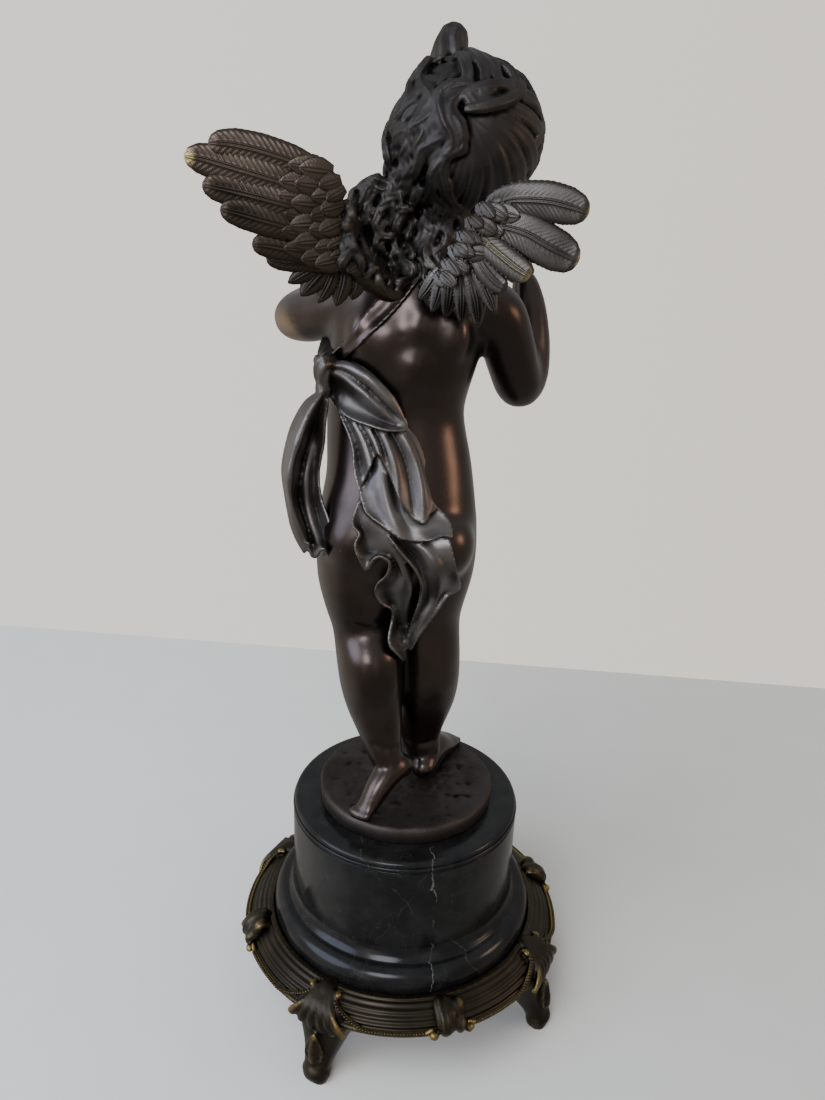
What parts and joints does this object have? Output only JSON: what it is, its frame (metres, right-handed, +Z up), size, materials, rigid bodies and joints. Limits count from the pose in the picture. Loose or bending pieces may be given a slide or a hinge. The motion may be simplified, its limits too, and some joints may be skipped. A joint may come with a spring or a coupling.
{
  "type": "bronze cherub statue",
  "caption": "Winged bronze cherub with a knotted sash, standing on a black marble plinth in a footed bronze ring.",
  "frame": {"origin": "middle of the whole outline seen from above, at the level the feet stand on", "axes": "+Z up; +Y the way the cherub faces, so its back is to -Y; +X its right side"},
  "size_m": [0.1854, 0.1804, 0.5008],
  "materials": {
    "patinated_bronze": "polished",
    "black_marble": "polished",
    "antique_bronze": "satin"
  },
  "bodies": {
    "root": {"cherub_figure": "patinated_bronze", "marble_plinth": "black_marble", "footed_ring": "antique_bronze"}
  },
  "joints": []
}
